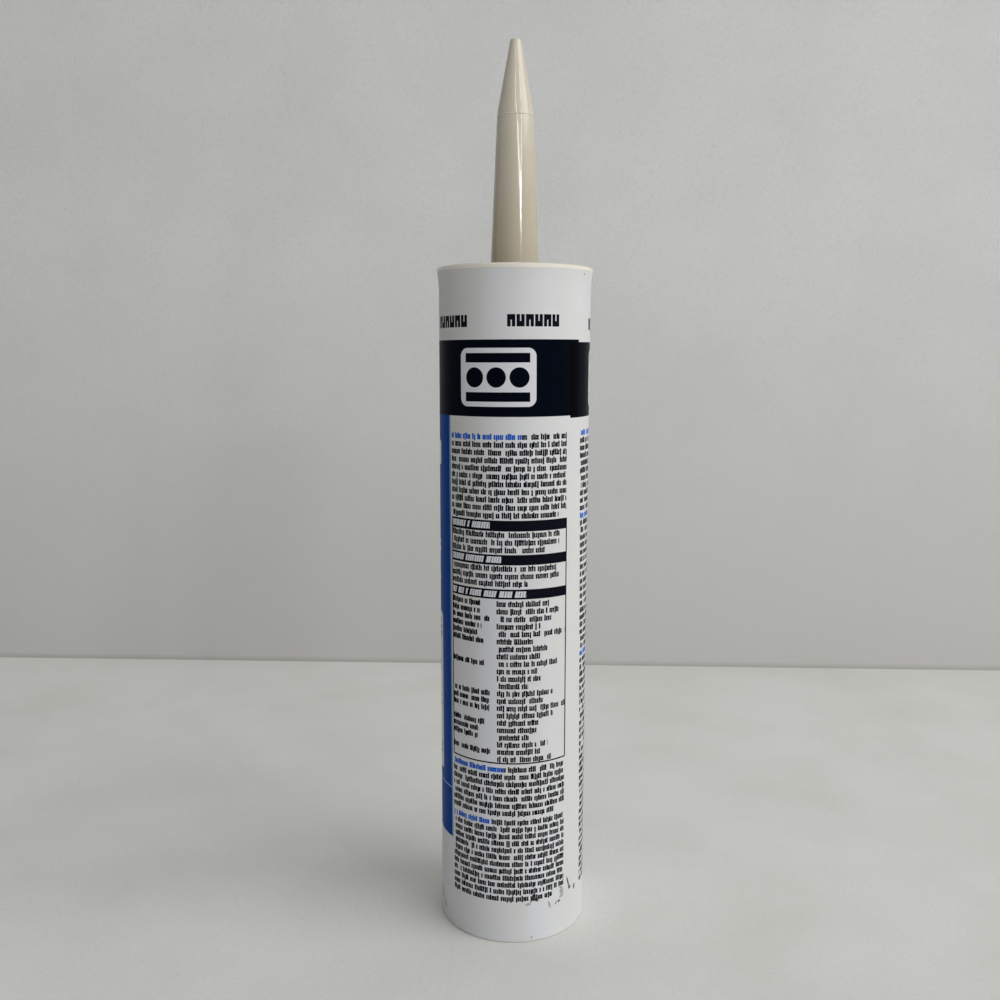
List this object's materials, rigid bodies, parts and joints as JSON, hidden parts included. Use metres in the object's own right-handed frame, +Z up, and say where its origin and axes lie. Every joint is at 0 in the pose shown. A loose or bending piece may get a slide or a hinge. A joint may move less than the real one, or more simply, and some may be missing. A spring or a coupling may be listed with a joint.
{
  "type": "sealant cartridge",
  "caption": "Round plastic cartridge with a long closed cone nozzle on its head and a sliding plunger that pushes the sealant inside towards the nozzle.",
  "frame": {"origin": "centre of the base ring, on the plane that the cartridge stands on", "axes": "+Z up along the cartridge's axis, towards the nozzle's tip; -Y towards the camera of the picture"},
  "size_m": [0.0506, 0.0504, 0.292],
  "materials": {
    "barrel_plastic": "satin white polyethylene with a printed outside",
    "nozzle_plastic": "glossy almond moulding",
    "plunger_plastic": "soft white moulding",
    "sealant_paste": "smooth almond paste"
  },
  "bodies": {
    "cartridge": {"barrel": "barrel_plastic", "nozzle": "nozzle_plastic", "sealant": "sealant_paste"},
    "plunger": {"plunger": "plunger_plastic"}
  },
  "joints": [
    {"name": "plunger_slide", "type": "slide", "parent": "cartridge", "child": "plunger", "axis": [0, 0, 1], "range_m": [0, 0.17705], "deforming": ["sealant"]}
  ]
}
